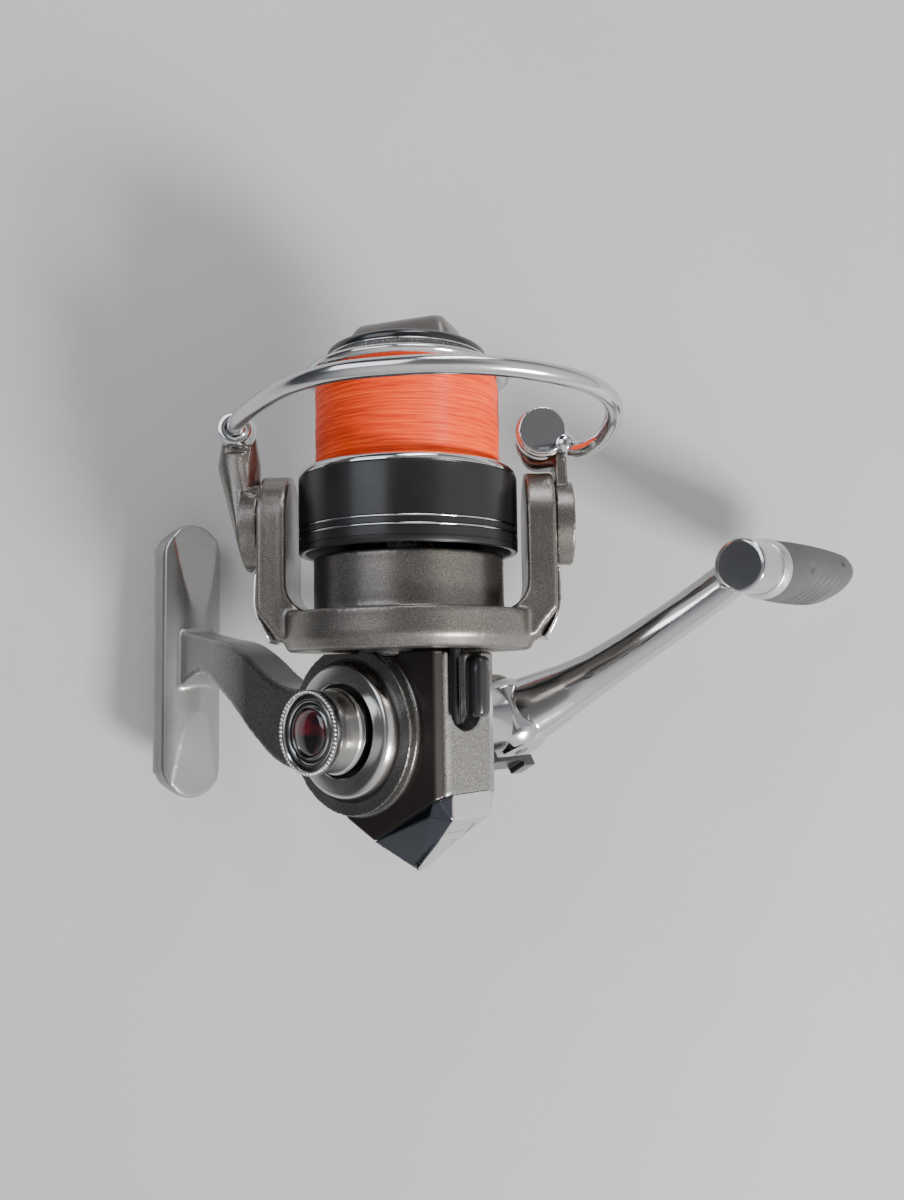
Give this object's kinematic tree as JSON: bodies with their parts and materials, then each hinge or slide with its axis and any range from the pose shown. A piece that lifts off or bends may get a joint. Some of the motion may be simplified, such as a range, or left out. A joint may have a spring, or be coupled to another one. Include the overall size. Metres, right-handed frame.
{
  "type": "spinning reel",
  "caption": "Open-face spinning reel: foot and stem, geared crank handle with folding arm, turning rotor with folding bail wire, and a spool with a front drag knob.",
  "frame": {"origin": "on the fishing rod's axis, over the middle of the reel's foot", "axes": "+Y towards the rod's tip, +Z away from the reel, the crank handle on the -X side"},
  "size_m": [0.1215, 0.0998, 0.1237],
  "materials": {
    "casting": "satin silver-grey metallic paint",
    "plate": "glossy near-black brown",
    "chrome": "bright chrome",
    "steel": "plain steel",
    "dark_plastic": "moulded dark grey",
    "zinc": "die-cast zinc",
    "lens": "tinted clear lens",
    "grip": "soft dark grey",
    "brass": "machined brass",
    "pewter": "pewter metallic paint",
    "spool_black": "satin black with polished bands",
    "line": "orange-red line, wound level",
    "felt": "oiled felt",
    "dark_gloss": "glossy dark grey"
  },
  "bodies": {
    "reel_body": {"body_housing": "casting", "side_plate": "plate", "housing_screws": "steel", "cap_collar": "chrome", "rear_cover": "chrome", "rear_cover_screw": "steel", "pinion_bearing": "steel", "bearing_retainer": "steel", "retainer_screws": "steel", "crank_bearings": "steel", "oscillation_axle": "steel"},
    "antireverse": {"antireverse_lever": "dark_plastic", "antireverse_pawl": "steel"},
    "crank": {"drive_gear": "zinc", "crank_shaft": "steel", "screw_cap": "chrome", "cap_lens": "lens", "handle_hub": "chrome", "fold_pin": "steel"},
    "lock": {"lock_lever": "dark_plastic"},
    "arm": {"handle_arm": "chrome", "knob_spindle": "steel"},
    "knob": {"knob_collar": "chrome", "handle_knob": "grip"},
    "oscillation": {"oscillation_gear": "brass"},
    "shaft": {"main_shaft": "steel", "oscillation_slider": "brass", "shaft_pin": "steel"},
    "spool": {"spool": "spool_black", "spool_skirt": "spool_black", "skirt_rim": "chrome", "spool_lip": "chrome", "wound_line": "line", "drag_washers": "felt", "drag_retainer": "steel"},
    "drag": {"drag_knob": "dark_plastic", "drag_plug": "dark_plastic", "drag_dome": "dark_gloss", "drag_spring": "steel"},
    "rotor": {"pinion_gear": "brass", "ratchet_wheel": "steel", "rotor": "pewter", "rotor_nut": "steel", "arm_cover_left": "chrome", "arm_cover_right": "chrome", "arm_cover_screws": "steel", "bail_spring": "steel"},
    "trip": {"trip_lever": "steel"},
    "bail": {"bail_arm_left": "pewter", "bail_arm_right": "pewter", "bail_pivot_screws": "steel", "wire_collar": "chrome", "bail_wire": "chrome", "roller_cap": "chrome", "roller_screw": "steel"},
    "roller": {"line_roller": "brass"}
  },
  "joints": [
    {"name": "antireverse", "type": "hinge", "parent": "reel_body", "child": "antireverse", "pos_m": [0.0006, 0, -0.0864], "axis": [0, 1, 0], "range_deg": [0, 9]},
    {"name": "handle_spin", "type": "hinge", "parent": "reel_body", "child": "crank", "pos_m": [0, -0.0141, -0.0695], "axis": [1, 0, 0], "continuous": true},
    {"name": "lock_slide", "type": "slide", "parent": "crank", "child": "lock", "axis": [0, 0.8721, 0.4894], "range_m": [0, 0.0012], "stiffness_N_per_m": 500},
    {"name": "handle_fold", "type": "hinge", "parent": "crank", "child": "arm", "pos_m": [-0.0365, -0.0141, -0.0695], "axis": [0, -0.8721, -0.4894], "range_deg": [0, 36]},
    {"name": "knob_spin", "type": "hinge", "parent": "arm", "child": "knob", "pos_m": [-0.045, 0.01492, -0.12121], "axis": [1, 0, 0], "continuous": true},
    {"name": "oscillation_spin", "type": "hinge", "parent": "reel_body", "child": "oscillation", "pos_m": [0.0028, -0.0231, -0.07491], "axis": [1, 0, 0], "continuous": true},
    {"name": "shaft_slide", "type": "slide", "parent": "reel_body", "child": "shaft", "axis": [0, 1, 0], "range_m": [-0.007, 0]},
    {"name": "spool_spin", "type": "hinge", "parent": "shaft", "child": "spool", "pos_m": [0, 0.03, -0.0755], "axis": [0, 1, 0], "continuous": true},
    {"name": "drag_turn", "type": "hinge", "parent": "shaft", "child": "drag", "pos_m": [0, 0.055, -0.0755], "axis": [0, 1, 0], "range_deg": [-360, 360]},
    {"name": "rotor_spin", "type": "hinge", "parent": "reel_body", "child": "rotor", "pos_m": [0, 0, -0.0755], "axis": [0, 1, 0], "continuous": true},
    {"name": "trip_slide", "type": "slide", "parent": "rotor", "child": "trip", "axis": [0, -1, 0], "range_m": [0, 0.0015]},
    {"name": "bail_flip", "type": "hinge", "parent": "rotor", "child": "bail", "pos_m": [0, 0.0228, -0.0755], "axis": [0.6428, 0, 0.766], "range_deg": [0, 100]},
    {"name": "roller_spin", "type": "hinge", "parent": "bail", "child": "roller", "pos_m": [-0.01568, 0.0387, -0.09419], "axis": [0.766, 0, -0.6428], "continuous": true}
  ],
  "couplings": [
    {"joint": "rotor_spin", "follows": "handle_spin", "ratio": 5},
    {"joint": "oscillation_spin", "follows": "handle_spin", "ratio": -0.66667},
    {"joint": "trip_slide", "follows": "bail_flip", "m_per_rad": 0.00085944}
  ]
}
